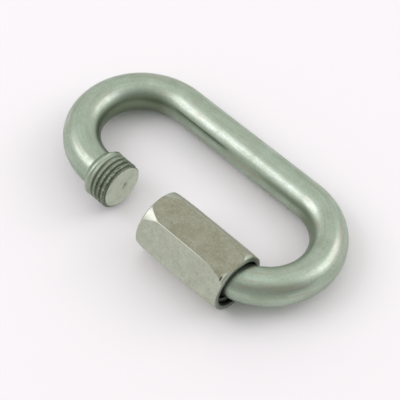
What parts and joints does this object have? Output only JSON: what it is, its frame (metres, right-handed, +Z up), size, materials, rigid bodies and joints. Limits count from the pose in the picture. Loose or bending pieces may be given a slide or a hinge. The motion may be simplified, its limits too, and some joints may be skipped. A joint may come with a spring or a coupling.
{
  "type": "chain quick link",
  "caption": "Oval link bent from round steel rod, with a gate that a hexagonal threaded sleeve nut slides across to join chain or rings.",
  "frame": {"origin": "on the surface that the link lies on, under the middle of its bounding box", "axes": "+X along the link from the short threaded end to the nut's side, +Y from the gate to the back bar, +Z up from the surface that it lies on"},
  "size_m": [0.104, 0.0558, 0.019],
  "materials": {
    "zinc_plated_rod": "zinc-plated bent rod, satin",
    "zinc_plated_nut": "zinc-plated hexagonal bar, dull"
  },
  "bodies": {
    "link": {"link_body": "zinc_plated_rod"},
    "nut": {"sleeve_nut": "zinc_plated_nut"}
  },
  "joints": [
    {"name": "nut_travel", "type": "slide", "parent": "link", "child": "nut", "axis": [-1, 0, 0], "range_m": [0, 0.0245]}
  ]
}
